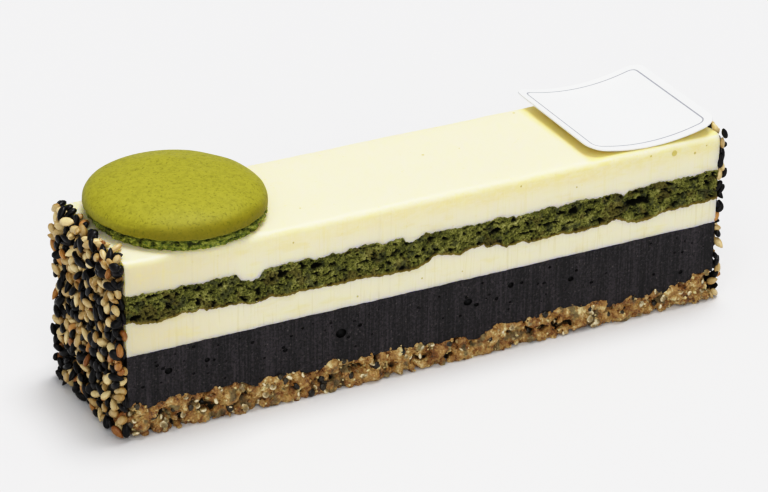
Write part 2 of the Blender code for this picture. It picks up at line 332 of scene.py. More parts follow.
seams = {
    "ganacheTop": 17.2,
    "crunchOver": (
        (-62, 7.5), (-59, 6.2), (-54, 7.3), (-50, 6.8), (-39.6, 7.0), (-38.2, 5.8), (-37.5, 4.0),
        (-36.1, 6.0), (-34.7, 6.6), (-32.6, 6.0), (-29.8, 6.8), (-27.5, 5.8), (-24.2, 5.6), (-20.7, 6.8),
        (-17.2, 5.8), (-10.9, 6.3), (-6.7, 6.0), (-6, 5.2), (-2.5, 6.0), (3.1, 4.8), (5.2, 5.8),
        (7.3, 4.6), (10.1, 4.3), (12.2, 5.5), (16.4, 6.2), (17.5, 5.3), (31.8, 6.6), (32.5, 5.8),
        (37.4, 6.0), (38.8, 4.5), (42.3, 4.0), (43, 5.3), (47.9, 4.5), (50, 5.2), (52.8, 4.0),
        (55.6, 6.3), (57.7, 5.6), (59.1, 7.0), (62, 7.0),
    ),
    "crunchUnder": (
        (-62, 0.4), (-57, 0.0), (-44, 0.4), (-39, 0.0), (-29, 0.3), (-25, 0.0), (-5, 0.2), (0, 0.0),
        (20, 0.3), (23, 0.6), (27, 0.0), (31, 0.4), (35, 1.0), (40, 0.4), (45, 0.0), (51, 0.5), (55, 0.0),
        (62, 0.5),
    ),
    "spongeUnder": (
        (-62, 24.0), (-60.6, 23.4), (-56.4, 23.0), (-51.5, 23.8), (-50.1, 23.4), (-48, 23.7),
        (-47.3, 23.3), (-40.3, 23.0), (-38.2, 22.4), (-36.1, 22.5), (-34, 23.1), (-31.9, 22.4),
        (-27.7, 22.7), (-19.3, 22.3), (-16.5, 22.6), (-9.5, 21.9), (-3.2, 21.9), (-1.1, 22.8),
        (-0.4, 23.6), (1, 23.8), (5.9, 22.7), (8, 23.5), (10.8, 23.8), (11.6, 22.8), (13.6, 23.2),
        (15.7, 22.2), (19.2, 22.5), (20.6, 22.0), (25.5, 22.1), (27.6, 22.4), (31.1, 21.7), (38.1, 22.2),
        (40.2, 22.9), (43, 21.4), (46.5, 20.9), (50.7, 21.9), (57, 22.0), (62, 22.2),
    ),
    "spongeOver": (
        (-62, 29.5), (-55, 29.0), (-50.1, 29.2), (-48.7, 28.9), (-43.1, 29.1), (-41.2, 28.9),
        (-40.2, 27.6), (-38.2, 27.2), (-36.3, 27.7), (-35.4, 28.9), (-26.3, 29.0), (-24.9, 28.5),
        (-21.4, 29.1), (-18.6, 28.5), (-17.9, 29.1), (-12.3, 29.3), (-10.9, 28.5), (-7.4, 29.3),
        (-6.7, 29.0), (-6, 28.0), (-4.6, 27.6), (-1.8, 28.8), (10.1, 28.3), (14.3, 28.7), (17.8, 28.0),
        (25.5, 28.5), (26.9, 28.0), (33.2, 28.6), (34.6, 28.1), (40.2, 28.4), (41.6, 27.4), (43, 28.2),
        (50, 28.7), (52.8, 28.3), (62, 28.5),
    ),
}


def alongSides(x, y, name):
    # as measured on the photographed side, turned end for end on the other
    share = clamp(0.5 - y / (bar["width"] / mm))
    places = [at for at, height in seams[name]]
    heights = [height for at, height in seams[name]]
    here, mirrored = np.interp((x, -x), places, heights)
    return share * here + (1.0 - share) * mirrored


def crunchTop(x, y):
    return alongSides(x, y, "crunchOver") + 0.2 * fuzz(x, y, 3, 1.6)


def crunchFloor(x, y):
    return max(0.0, alongSides(x, y, "crunchUnder") + 0.3 * fuzz(x, y, 17, 2.2))


def spongeUnder(x, y):
    return alongSides(x, y, "spongeUnder") + 0.14 * fuzz(x, y, 7, 1.2) + 0.1 * fuzz(x, y, 8, 0.5)


def spongeOver(x, y):
    return alongSides(x, y, "spongeOver") + 0.2 * fuzz(x, y, 11, 1.1) + 0.12 * fuzz(x, y, 12, 0.5)


def cutBlock(name, columns, rows, low, high, inset=0.0, cuts=()):
    # an upright grid on the photographed side, drawn out through the cake to the back
    middle = (bar["middleX"], bar["front"] + inset * mm, (low + high) / 2 * mm)
    bpy.ops.mesh.primitive_grid_add(
        x_subdivisions=columns, y_subdivisions=rows, size=1.0, location=middle, rotation=(math.pi / 2, 0, 0),
    )
    block = justAdded(name)
    block.scale = (bar["length"], (high - low) * mm, 1)
    setDown(block)
    editAll(block)
    through = bar["width"] - 2 * inset * mm
    bpy.ops.mesh.extrude_region_move(TRANSFORM_OT_translate={"value": (0, through, 0)})
    for cut in cuts:
        bpy.ops.mesh.select_all(action="SELECT")
        bpy.ops.mesh.bisect(plane_co=(0, bar["middleY"] + cut * mm, 0), plane_no=(0, 1, 0))
    bpy.ops.mesh.select_all(action="SELECT")
    bpy.ops.mesh.normals_make_consistent(inside=False)
    leaveEdit()
    return block


def fitBetween(block, low, high, under, over):
    # heights run evenly from the lower outline to the upper one
    places = readPoints(block)
    for spot in places:
        x, y, z = fromMiddle(spot)
        share = (z - low) / (high - low)
        spot[2] = (under(x, y) * (1 - share) + over(x, y) * share) * mm
    writePoints(block, places)


# Camera, table and light

view = {
    "place": (-285.47, -523.84, 312.46),  # millimetres from the bar's middle
    "turn": -28.35,  # degrees, as the next two
    "height": 26.16,
    "roll": 0.745,
    "lens": 162.33,
}


def setCamera():
    bpy.ops.object.camera_add()
    camera = justAdded("camera")
    spot = Vector(view["place"]) * mm + onBar(0, 0, 0)
    turn, tilt, roll = [math.radians(angle) for angle in (view["turn"], 90 - view["height"], view["roll"])]
    aimed = Matrix.Rotation(turn, 4, "Z") @ Matrix.Rotation(tilt, 4, "X") @ Matrix.Rotation(roll, 4, "Z")
    camera.matrix_world = Matrix.Translation(spot) @ aimed
    camera.data.lens = view["lens"]
    camera.data.sensor_width = 36.0
    camera.data.clip_start = 0.02
    camera.data.clip_end = 20.0
    bpy.context.scene.camera = camera


studio = {
    "sky": (0.95, 0.975, 1.0),
    "skyStrength": 0.32,
    "lamps": (  # name, direction that it shines from, strength, angle in degrees
        ("keyFromAbove", (0.17, 0.07, 1.0), 2.3, 26.0),
        ("fillFromFront", (-0.5, -1.0, 0.9), 1.1, 60.0),
    ),
    "table": (0.748, 0.741, 0.744),
    "tableGlow": 0.05,
    "whiteLevel": 1.5,
    "toneCurve": ((0.03, 0.022), (0.12, 0.15), (0.33, 0.50), (0.60, 0.865), (0.80, 0.965)),
}


def setStudio():
    world = bpy.data.worlds.new("studio")
    bpy.context.scene.world = world
    world.use_nodes = True
    sky = world.node_tree.nodes["Background"]
    sky.inputs["Color"].default_value = (*studio["sky"], 1.0)
    sky.inputs["Strength"].default_value = studio["skyStrength"]
    for name, source, strength, angle in studio["lamps"]:
        bpy.ops.object.light_add(type="SUN", location=source)
        lamp = justAdded(name)
        lamp.rotation_euler = Vector(source).to_track_quat("Z", "Y").to_euler()
        lamp.data.energy = strength
        lamp.data.angle = math.radians(angle)
    bpy.ops.mesh.primitive_plane_add(size=6.0, location=(0, 0, 0))
    table = justAdded("table")
    setDown(table)
    finish = Finish("tableTop").set(
        colour=studio["table"], roughness=0.75, specular=0.2,
        shine=(1.0, 1.0, 1.0), shineStrength=studio["tableGlow"],
    )
    table.data.materials.append(finish.material)
    develop = bpy.context.scene.view_settings
    develop.view_transform = "Standard"
    develop.look = "None"
    develop.use_curve_mapping = True
    develop.curve_mapping.white_level = (studio["whiteLevel"],) * 3
    for at, shown in studio["toneCurve"]:
        develop.curve_mapping.curves[3].points.new(at, shown)
    develop.curve_mapping.update()


# Cream, two layers

cream = {
    "colour": (0.93, 0.835, 0.56),
    "cutColour": (0.945, 0.85, 0.605),
    "bandColour": (0.88, 0.76, 0.33),
    # colour of the painted shade at the cut's left end, and of the drips down the lower cream
    "shadeAndDripColour": (0.74, 0.66, 0.42),
    "paintedCardShadow": (0.93, 0.79, 0.33),  # painted shadow of the card, yellow
    # painted shade in the pits, on the top and in the cut
    "pitShadeColour": (0.62, 0.52, 0.12),
    "cutMark": (0.62, 0.54, 0.28),
    "edgeRadius": 1.3,
    "knifeMarks": (  # x, half width, depth
        (-11.6, 0.5, 0.35), (-9.2, 0.2, 0.3), (29.0, 0.2, 0.2), (-33.0, 0.2, 0.25), (-50.0, 0.3, 0.3),
    ),
    "topPits": ((7.0, 3.0, 0.3), (32.5, 12.4, 0.28), (14.8, 2.7, 0.16), (-24.6, -7.5, 0.2)),  # x, y, radius
    "pits": (  # x, height, radius, in the cut
        (52.9, 34.1, 0.62), (47.5, 34.6, 0.22), (57.6, 33.2, 0.28), (60.2, 34.3, 0.2), (31.0, 31.5, 0.2),
        (18.6, 34.3, 0.22), (-2.4, 19.6, 0.2), (6.3, 19.1, 0.16), (-16.1, 18.9, 0.22), (-29.5, 33.0, 0.2),
    ),
    "roughness": 0.42,
}


def knifeCuts(finish):
    # the few straight scores that run down the cut through cream and ganache
    total = 0.0
    for at, half, depth in cream["knifeMarks"]:
        total = total + finish.between(finish.away("X", at), 0.0, half, depth, 0.0)
    return total


def creamPits(finish, cutFace):
    total = 0.0
    for pits, upwards, face in (("pits", "Z", cutFace), ("topPits", "Y", finish.facing("Z"))):
        sunk = 0.0
        for x, up, radius in cream[pits]:
            across = finish.away("X", x) * (1 / radius)
            over = finish.away(upwards, up) * (1 / radius)
            sunk = sunk + finish.between(across * across + over * over, 0.6, 1.2, 1.0, 0.0)
        total = total + sunk * face
    return total


def creamFinish():
    finish = Finish("cream")
    cutFace = finish.between(finish.facing("Y"), 0.45, 0.9)
    marks = finish.grain(0.5, 3.0, (1.0, 1.0, 0.045), 0.6)
    drag = finish.grain(2.6, 4.0, (0.4, 1.0, 1.0), 0.65, (7, 0, 0))
    height = finish.axis("Z") + 1.6 * (drag - 0.5)
    band = finish.between(height, 30.6, 34.4) * finish.between(height, 34.8, 35.9, 1.0, 0.0) * cutFace
    rightwards = finish.between(finish.axis("X"), -50.0, 40.0, 0.3, 0.75)
    blotches = finish.between(finish.grain(1.0, 4.0, (0.5, 1.0, 1.0), 0.7, (5, 2, 9)), 0.4, 0.6, 0.45, 1.0)
    # painted shadow of the card on the cream's top, just left of and under the card
    paintedCardShadow = finish.between(finish.axis("X"), 33.2, 35.2) * finish.between(finish.facing("Z"), 0.7, 1.0)
    # painted shade: the cut face is drawn darker towards the left end
    paintedShadeLeft = finish.between(finish.axis("X"), -64.0, -36.0, 0.65, 0.0)
    smears = finish.grain(2.2, 3.0, (0.35, 1.0, 1.3), 0.6, (2, 0, 5))
    streak = finish.between(marks, 0.5, 0.72) * 0.35 + finish.between(smears, 0.52, 0.72) * 0.4
    drips = finish.between(marks, 0.54, 0.68, 0.0, 0.26) * cutFace
    lowerHalf = finish.between(finish.axis("Z"), 22.0, 26.0, 1.0, 0.0)
    dots = finish.between(finish.cells(2.4), 0.05, 0.1, 0.5, 0.0)
    # the pits are dented, and drawn darker as painted shade
    pits = creamPits(finish, cutFace)
    cuts = knifeCuts(finish) * cutFace
    colour = finish.layers(
        cream["colour"], (paintedCardShadow, cream["paintedCardShadow"]), (cutFace, cream["cutColour"]),
        (band * rightwards * blotches, cream["bandColour"]), (paintedShadeLeft * cutFace, cream["shadeAndDripColour"]),
        (streak * cutFace, cream["bandColour"]), (drips * lowerHalf, cream["shadeAndDripColour"]),
        (dots, cream["bandColour"]), (pits * 0.85, cream["pitShadeColour"]), (cuts * 0.3, cream["cutMark"]),
    )
    soft = finish.grain(3.5, 2.0)
    finish.relief(marks * cutFace * 0.4 + soft * 0.5 - dots * 0.6 - cuts * 0.8 - pits, 0.1)
    return finish.set(
        colour=colour, roughness=cream["roughness"], specular=0.35, glow=0.65,
        glowSize=3.2 * mm, glowReach=(1.0, 0.88, 0.2),
    )


def makeUpperCream(finish):
    low, high = 28.9, bar["top"] / mm
    block = cutBlock("creamTop", 316, 5, low, high, cuts=(-10, -5, 0, 5, 10))
    corner = Vector((bar["width"] / 2, bar["top"])) / mm
    pick(block, "EDGE", lambda edge: all(
        abs(y) > corner.x - 0.01 and z > corner.y - 0.01 for x, y, z in map(fromMiddle, ends(block, edge))
    ))
    bpy.ops.mesh.bevel(offset=cream["edgeRadius"] * mm, segments=6, profile=0.5, affect="EDGES")
    leaveEdit()
    places = readPoints(block)
    for spot in places:
        x, y, z = fromMiddle(spot)
        share = clamp((high - cream["edgeRadius"] - z) / (high - cream["edgeRadius"] - low))
        target = spongeOver(x, y) - 0.1
        spot[2] = (z + share * (target - low)) * mm
        if abs(y) > 13:
            ripple = 0.14 * fuzz(x, y, z, 3.2) * clamp((z - 33) / 2) * (1 if x < -25 else 0.3)
            spot[1] += math.copysign(1.0, y) * (0.06 * fuzz(x, y, z, 5.0) + ripple) * mm
        if z > high - 0.5:
            spot[2] += 0.05 * fuzz(x, y, 0, 11.0) * mm
    writePoints(block, places)
    smooth(block, 50)
    place(block, finish, "upper_cream")


def makeLowerCream(finish):
    low, high = seams["ganacheTop"], 22.5
    block = cutBlock("creamMiddle", 316, 8, low, high)
    fitBetween(
        block, low, high,
        lambda x, y: low + 0.07 * fuzz(x, y, 5, 2.6) + 0.04 * fuzz(x, y, 6, 0.6),
        lambda x, y: spongeUnder(x, y) + 0.1,
    )
    smooth(block, 50)
    place(block, finish, "lower_cream")


# Ganache

ganache = {
    "colour": screen(60, 54, 58),
    "dark": screen(14, 11, 13),
    "speck": screen(104, 98, 94),
    # near black, painted shade inside the bubbles and pits
    "hollow": (0.002, 0.002, 0.002),
    "bubbles": (  # x, z, radius, on the photographed side
        (-55.0, 12.5, 0.75), (-47.2, 12.9, 0.55), (-31.2, 11.1, 0.45), (-19.5, 11.9, 1.15),
        (-15.5, 12.7, 0.45), (7.7, 12.2, 0.85), (9.6, 11.2, 0.5), (14.0, 11.5, 0.4),
        (17.1, 13.7, 0.65), (19.5, 13.7, 0.35), (24.5, 12.5, 0.35), (30.5, 12.0, 0.65),
        (35.2, 10.2, 0.4), (55.8, 7.8, 0.5),
    ),
    "small": 60,
    "smallAt": ((-61, 61), (8.2, 16.4), (0.14, 0.36)),  # x, z, radius, each from and to
}


def ganacheFinish():
    finish = Finish("ganache")
    marks = finish.grain(0.42, 3.0, (1.0, 1.0, 0.03), 0.6)
    broad = finish.grain(2.2, 3.0, (1.0, 1.0, 0.08), 0.6, (3, 0, 0))
    fine = finish.grain(0.55, 5.0, roughness=0.8)
    shade = finish.between(marks * 0.6 + broad * 0.5 + fine * 1.1, 0.93, 1.36)
    specks = finish.between(finish.cells(0.7), 0.1, 0.3, 0.6, 0.0) * finish.between(fine, 0.5, 0.6)
    # small pits, dented and painted with shade
    pits = finish.between(finish.cells(0.85, (4, 9, 2)), 0.12, 0.22, 1.0, 0.0)
    # painted shade: the walls inside the bubbles, deeper than the cut face
    bubbleShade = finish.between(finish.away("Y", 0), 14.15, 14.4, 0.9, 0.0)
    cuts = knifeCuts(finish)
    colour = finish.layers(
        ganache["dark"], (shade, ganache["colour"]), (specks, ganache["speck"]),
        (pits * 0.95, ganache["hollow"]), (bubbleShade, ganache["hollow"]), (cuts * 0.5, ganache["dark"]),
    )
    finish.relief(marks * 0.4 + fine * 0.4 - pits * 0.9 - cuts * 0.5, 0.09)
    return finish.set(colour=colour, roughness=0.52, specular=0.4)


def makeGanache(finish):
    top = seams["ganacheTop"] + 0.4
    block = cutBlock("ganacheBlock", 158, 4, 5.8, top, inset=0.03, cuts=(0,))
    fitBetween(block, 5.8, top, lambda x, y: crunchTop(x, y) - 0.5, lambda x, y: top)
    draw = random.Random(12)
    holes = []
    for side in (-1, 1):
        found = [(x * -side, z, radius) for x, z, radius in ganache["bubbles"]]
        for count in range(ganache["small"]):
            found.append(tuple(draw.uniform(low, high) for low, high in ganache["smallAt"]))
        for x, z, radius in found:
            spot = onBar(x, side * (bar["width"] / 2 / mm - 0.25 * radius), z)
            bpy.ops.mesh.primitive_ico_sphere_add(subdivisions=2, radius=radius * mm, location=spot)
            hole = justAdded("hole")
            hole.scale = (draw.uniform(0.95, 1.25), draw.uniform(0.9, 1.3), draw.uniform(0.8, 1.0))
            setDown(hole)
            holes.append(hole)
    cutter = joinAll("holes", holes)
    change(block, "BOOLEAN", operation="DIFFERENCE", solver="EXACT", use_self=True, object=cutter)
    dispose([cutter])
    smooth(block, 35)
    place(block, finish, "ganache")


# Sponge

sponge = {
    "rim": screen(198, 195, 130),
    "light": screen(136, 136, 70),
    "middle": screen(92, 95, 42),
    "brown": screen(98, 86, 42),
    "ochre": screen(150, 132, 66),
    "slate": screen(54, 60, 50),
    "dark": screen(30, 31, 13),
    "pores": (  # x, z, half length, half height, depth, on the photographed side
        (45.2, 25.6, 2.3, 0.8, 2.4), (30.4, 26.6, 1.1, 0.8, 1.8), (-31.6, 27.0, 1.1, 0.55, 1.5),
        (-24.7, 27.2, 1.2, 0.65, 1.6), (-61.4, 24.9, 1.1, 0.6, 1.6), (13.5, 26.2, 0.9, 0.5, 1.3),
    ),
    "holes": (  # across, up, two layers of noise, finer by, share, steepness, depth
        (1.5, 0.85, 20, 25, 2.7, 0.27, 4.5, 1.3), (0.5, 0.38, 31, 35, 2.3, 0.26, 4.0, 0.6),
    ),
}


def spongeFinish():
    finish = Finish("sponge")
    patches = finish.grain(2.2, 3.0, roughness=0.6)
    crumb = finish.grain(0.3, 4.0, roughness=0.75)
    sunk = finish.noted("sunk")
    height = finish.noted("height")
    colour = finish.ramp(patches * 0.42 + crumb * 0.58, (
        (0.36, sponge["dark"]), (0.44, sponge["middle"]), (0.54, sponge["light"]), (0.65, sponge["rim"]),
    ))
    under = finish.between(height + 0.5 * (patches - 0.5), 0.0, 0.16, 0.8, 0.0)
    earthy = finish.between(finish.grain(3.4, 2.0, shift=(3, 1, 8)), 0.52, 0.62, 0.0, 0.6)
    cool = finish.between(finish.grain(1.9, 2.0, shift=(9, 4, 1)), 0.54, 0.64, 0.0, 0.5)
    fringe = finish.between(height, 0.03, 0.1, 0.7, 0.0)
    # painted shade: the sunk pores are drawn dark
    colour = finish.layers(
        colour, (under, sponge["brown"]), (earthy, sponge["brown"]), (cool, sponge["slate"]),
        (fringe, sponge["ochre"]), (finish.between(sunk, 0.12, 0.75), sponge["dark"]),
    )
    finish.relief(crumb, 0.3)
    return finish.set(colour=colour, roughness=0.75, specular=0.3)


def spongeDepth(across, up, side, pores):
    # how far a spot on the cut is sunk, in millimetres: named pores, then torn holes and fine ones
    depth = 0.0
    for at, height, long, tall, deep in pores:
        reach = ((across - at) / long) ** 2 + ((up - height) / tall) ** 2
        if reach < 1.6:
            torn = 1.15 - reach + 0.5 * fuzz(across, side * 9, up, 0.55)
            depth = max(depth, deep * clamp(2.2 * torn))
    for wide, tall, layer, second, finer, share, steep, deep in sponge["holes"]:
        hole = noise.noise(Vector((across / wide, side * layer, up / tall)))
        hole += 0.4 * noise.noise(Vector((across / wide * finer, side * second, up / tall * finer)))
        depth = max(depth, deep * clamp((hole - share) * steep))
    return depth


def makeSponge(finish):
    low, high = 22.5, 28.9
    block = cutBlock("spongeSlab", 900, 48, low, high, inset=-0.12)
    heights = (readPoints(block)[:, 2] / mm - low) / (high - low)
    fitBetween(block, low, high, spongeUnder, spongeOver)
    places = readPoints(block)
    sunk = np.zeros(len(places))
    for side in (-1, 1):
        pores = [(at * -side, height, long, tall, deep) for at, height, long, tall, deep in sponge["pores"]]
        for number, spot in enumerate(places):
            across, back, up = fromMiddle(spot)
            if back * side < 14:
                continue
            reach = 6.4 * min(heights[number], 1 - heights[number])  # to the nearer seam
            calm = clamp((reach - 0.1) / 0.35)
            depth = calm * spongeDepth(across, up, side, pores)
            lump = 0.12 * fuzz(across, side * 20, up, 1.3) + 0.08 * fuzz(across, side * 20, up, 0.35)
            sunk[number] = depth
            spot[1] -= side * (depth + lump * (0.3 + 0.7 * calm)) * mm
    writePoints(block, places)
    note(block, "sunk", sunk)
    note(block, "height", heights)
    smooth(block, 70)
    place(block, finish, "sponge")


# Crunch

crunch = {
    "lumps": (  # how many for each long side, smallest and largest, fused into the mass
        (90, 1.7, 2.5), (380, 0.6, 1.3),
    ),
    "spread": 125.6,  # over the bar's length
    "reach": 14.9,  # to each side of its middle
    "height": 5.8,
    "voxel": 0.22,
    "roughen": 0.11,
    "triangles": 130000,
    "gold": screen(182, 146, 90),
    "amber": screen(142, 100, 54),
    "deep": screen(70, 51, 30),
    "pale": screen(234, 218, 166),
    "ash": screen(98, 94, 68),
    # near black, painted shade in creases and deep gaps
    "hollow": screen(16, 11, 7),
    "clear": {"glow": 0.2, "glowSize": 0.8 * mm, "glowReach": (1.0, 0.65, 0.35)},
    "grains": 800,
    "grainSizes": (0.16, 0.4),
    "beads": 170,
    "darkSeeds": 90,
}


def crunchFinish():
    finish = Finish("crunch")
    lumps = finish.grain(1.9, 3.0, roughness=0.6)
    crumb = finish.grain(0.35, 4.0, roughness=0.7)
    colour = finish.ramp(lumps * 0.65 + crumb * 0.35, (
        (0.35, crunch["deep"]), (0.44, crunch["amber"]), (0.54, crunch["gold"]), (0.65, crunch["pale"]),
    ))
    patch = finish.between(finish.grain(3.1, 2.0, shift=(11, 5, 3)), 0.54, 0.64, 0.0, 0.7)
    # painted highlight: pale on the ridges
    ridgeHighlight = finish.between(finish.edges(), 0.53, 0.64, 0.0, 0.45)
    # painted shade: dark in the creases
    hollow = finish.between(finish.edges(), 0.38, 0.47, 0.97, 0.0)
    # painted shade: dark in the gaps that lie deeper than the lumps' fronts, not on upward faces
    gapShade = finish.between(finish.away("Y", 0), 12.8, 13.8, 0.88, 0.0)
    gapShade = gapShade * finish.between(finish.facing("Z"), 0.7, 0.95, 1.0, 0.0)
    colour = finish.layers(
        colour, (patch, crunch["ash"]), (ridgeHighlight, crunch["pale"]),
        (hollow, crunch["hollow"]), (gapShade, crunch["hollow"]),
    )
    finish.relief(crumb, 0.2)
    shine = finish.between(lumps, 0.4, 0.6, 0.25, 0.55)
    return finish.set(colour=colour, roughness=shine, specular=0.5, **crunch["clear"])


def grainFinish():
    # crisp crumbs, each with its own tone from dark toffee to pale sugar
    finish = Finish("crumbs")
    crumb = finish.grain(0.4, 3.0)
    colour = finish.ramp(finish.noted("tone") + (crumb - 0.5) * 0.35, (
        (0.0, crunch["deep"]), (0.3, crunch["amber"]), (0.65, crunch["gold"]), (0.95, crunch["pale"]),
    ))
    finish.relief(crumb, 0.1)
    return finish.set(colour=colour, roughness=0.3, specular=0.55, **crunch["clear"])


def beadFinish():
    # glassy seeds: a pale rim round a clear brown middle
    finish = Finish("glassySeeds")
    fine = finish.grain(0.35, 3.0)
    colour = finish.ramp(finish.noted("rim") * 0.6 + fine * 0.5, (
        (0.3, screen(118, 98, 60)), (0.52, screen(166, 144, 96)), (0.75, screen(236, 222, 184)),
    ))
    colour = finish.blend(finish.between(finish.noted("tone"), 0.55, 1.0, 0.0, 0.45), colour, crunch["ash"])
    finish.relief(fine, 0.05)
    return finish.set(colour=colour, roughness=0.22, specular=0.6, coat=0.7, coatRoughness=0.1)


def darkSeedFinish():
    finish = Finish("darkSeeds")
    fine = finish.grain(0.4, 3.0)
    colour = finish.blend(finish.noted("tone") * 0.5 + fine * 0.3, screen(12, 10, 10), screen(92, 82, 62))
    finish.relief(fine, 0.05)
    return finish.set(colour=colour, roughness=0.3, specular=0.4, coat=0.25, coatRoughness=0.12)


def makeCrumbKinds(draw, amount, share):
    # angular lumps: rough balls with their faces thinned
    kinds = []
    for number in range(amount):
        bpy.ops.mesh.primitive_ico_sphere_add(subdivisions=3, radius=mm)
        crumb = justAdded("crumb")
        crumb.scale = (draw.uniform(0.75, 1.25), draw.uniform(0.75, 1.25), draw.uniform(0.6, 1.0))
        setDown(crumb)
        places = readPoints(crumb)
        for spot in places:
            spot *= 1 + 0.22 * fuzz(spot[0] / mm + 9 * number, spot[1] / mm, spot[2] / mm, 0.8)
        writePoints(crumb, places)
        change(crumb, "DECIMATE", ratio=share)
        kinds.append(crumb)
    return kinds


def makeCrunchMass(finish):
    draw = random.Random(21)
    kinds = makeCrumbKinds(draw, 5, 0.25)
    parts = []
    for side in (-1, 1):
        sizes = [draw.uniform(low, high) for amount, low, high in crunch["lumps"] for count in range(amount)]
        for number, size in enumerate(sizes):
            golden = (0.618034 * number + 0.3) % 1 - 0.5  # spreads the lumps evenly
            x = (crunch["spread"] - 1.2 * size) * golden
            y = side * (crunch["reach"] - 0.85 * size - draw.choice((0.0, 0.3, 1.0)))
            low = crunchFloor(x, side * 14.5) + 0.6 * size
            high = max(low + 0.1, crunchTop(x, side * 14.5) - 0.75 * size)
            z = draw.choice((low, high, draw.uniform(low, high)))
            axis = Vector((draw.random(), draw.random(), draw.random()))
            turn = Matrix.Rotation(draw.uniform(0, 6.28), 4, axis)
            sized = Matrix.Translation(onBar(x, y, z)) @ turn @ Matrix.Scale(size, 4)
            parts.append(copyOf(draw.choice(kinds), sized, 0.0))
    bpy.ops.mesh.primitive_cube_add(size=1.0, location=onBar(0, 0, crunch["height"] / 2))
    core = justAdded("core")
    core.scale = (bar["length"] - 0.4 * mm, bar["width"] - 4.0 * mm, crunch["height"] * mm)
    setDown(core)
    mass = joinAll("crunchBase", [core] + parts)
    dispose(kinds)
    change(mass, "REMESH", mode="VOXEL", voxel_size=crunch["voxel"] * mm)
    change(mass, "SMOOTH", factor=0.5, iterations=2)
    places = readPoints(mass)
    for spot in places:
        x, y, z = spot / mm
        if abs(y - bar["middleY"] / mm) > 11.5:
            nudge = Vector((fuzz(x, y, z, 0.5), fuzz(y, z, x, 0.5), fuzz(z, x, y, 0.5)))
            spot += np.array(nudge) * crunch["roughen"] * mm
        spot[2] = max(spot[2], 0.0)
    writePoints(mass, places)
    change(mass, "DECIMATE", ratio=min(1.0, crunch["triangles"] / (2 * len(mass.data.polygons))))
    mass.data.shade_smooth()
    place(mass, finish, "crunch_base")
    return mass


def openSpots(mass):
    # where the mass shows on its two long sides: places, directions and how much area each has
    spots = []
    for face in mass.data.polygons:
        x, y, z = fromMiddle(face.center)
        if abs(y) > 12.3 and face.normal.y * y > 0 and z > 0.3:
            spots.append((face.center.copy(), face.normal.copy(), face.area))
    return spots


def scatter(name, finish, kinds, spots, amount, sizes, sink, draw, flat=False):
    # copies set on the mass and sunk into it, lying flat or any way round
    copies = []
    weights = [area * abs(normal.y) for centre, normal, area in spots]
    reachY = bar["width"] / 2 + 0.6 * mm
    for centre, normal, area in draw.choices(spots, weights, k=amount):
        size = draw.uniform(*sizes) * draw.uniform(0.8, 1.0)
        if flat:
            out = (normal + Vector((0, math.copysign(1.6, normal.y), 0))).normalized()
            spin = Matrix.Rotation(draw.uniform(0, 6.28), 4, "Y")
            turn = out.to_track_quat("Y", "Z").to_matrix().to_4x4() @ spin
        else:
            axis = Vector((draw.gauss(0, 1), draw.gauss(0, 1), draw.gauss(0, 1)))
            turn = Matrix.Rotation(draw.uniform(0, 6.28), 4, axis)
        kind = draw.choice(kinds)
        sized = turn @ Matrix.Scale(size, 4)
        corners = [sized @ point.co for point in kind.data.vertices]
        spot = centre + normal * (1 - sink) * size * mm * (0.35 if flat else 0.6)
        lowest = min(corner.z for corner in corners)
        furthest = max(abs(corner.y) for corner in corners)
        spot.z = max(spot.z, 0.03 * mm - lowest)
        most = reachY - furthest
        spot.y = bar["middleY"] + max(-most, min(most, spot.y - bar["middleY"]))
        copies.append(copyOf(kind, Matrix.Translation(spot) @ sized, draw.random()))
    place(joinAll(name, copies), finish, "crunch_base")


def makeCrunch():
    spots = openSpots(makeCrunchMass(crunchFinish()))
    draw = random.Random(22)
    kinds = makeCrumbKinds(draw, 6, 0.04)
    amount, sizes = crunch["grains"], crunch["grainSizes"]
    scatter("crunchCrumbs", grainFinish(), kinds, spots, amount, sizes, 0.8, draw)
    dispose(kinds)
    kinds = [makeSeedKind("bead", 0.74, wider, draw) for wider in (1.0, 1.15)]
    scatter("glassySeeds", beadFinish(), kinds, spots, crunch["beads"], (0.55, 0.9), 0.8, draw)
    amount, sizes = crunch["darkSeeds"], (0.6, 0.85)
    scatter("darkSeeds", darkSeedFinish(), kinds, spots, amount, sizes, 1.0, draw, flat=True)
    dispose(kinds)


# Seeds

seedShape = {"length": 2.95, "width": 1.88, "thickness": 1.3, "around": 9, "along": 7}


def makeSeedKind(name, longer, wider, draw):
    # a ball drawn to a blunt point at one end, pressed flat
    bpy.ops.mesh.primitive_uv_sphere_add(
        segments=seedShape["around"], ring_count=seedShape["along"], radius=0.5 * mm,
    )
    seed = justAdded(name)
    for height, share in ((0.05, 0.90), (0.20, 0.80), (0.38, 0.74)):
        pick(seed, "VERT", lambda point: point.co.z > height * mm)
        bpy.ops.transform.resize(value=(share, share, 1.0), center_override=(0, 0, 0))
    pick(seed, "VERT", lambda point: point.co.z < -0.3 * mm)
    bpy.ops.transform.resize(value=(1.08, 1.08, 1.0), center_override=(0, 0, 0))
    leaveEdit()
    rims = [math.hypot(point.co.x, point.co.z) / (0.5 * mm) for point in seed.data.vertices]
    note(seed, "rim", [min(1.0, rim) ** 2 for rim in rims])
    thick = seedShape["thickness"] * draw.uniform(0.9, 1.1)
    seed.scale = (seedShape["width"] * wider, thick, seedShape["length"] * longer)
    setDown(seed)
    seed.data.shade_smooth()
    return seed


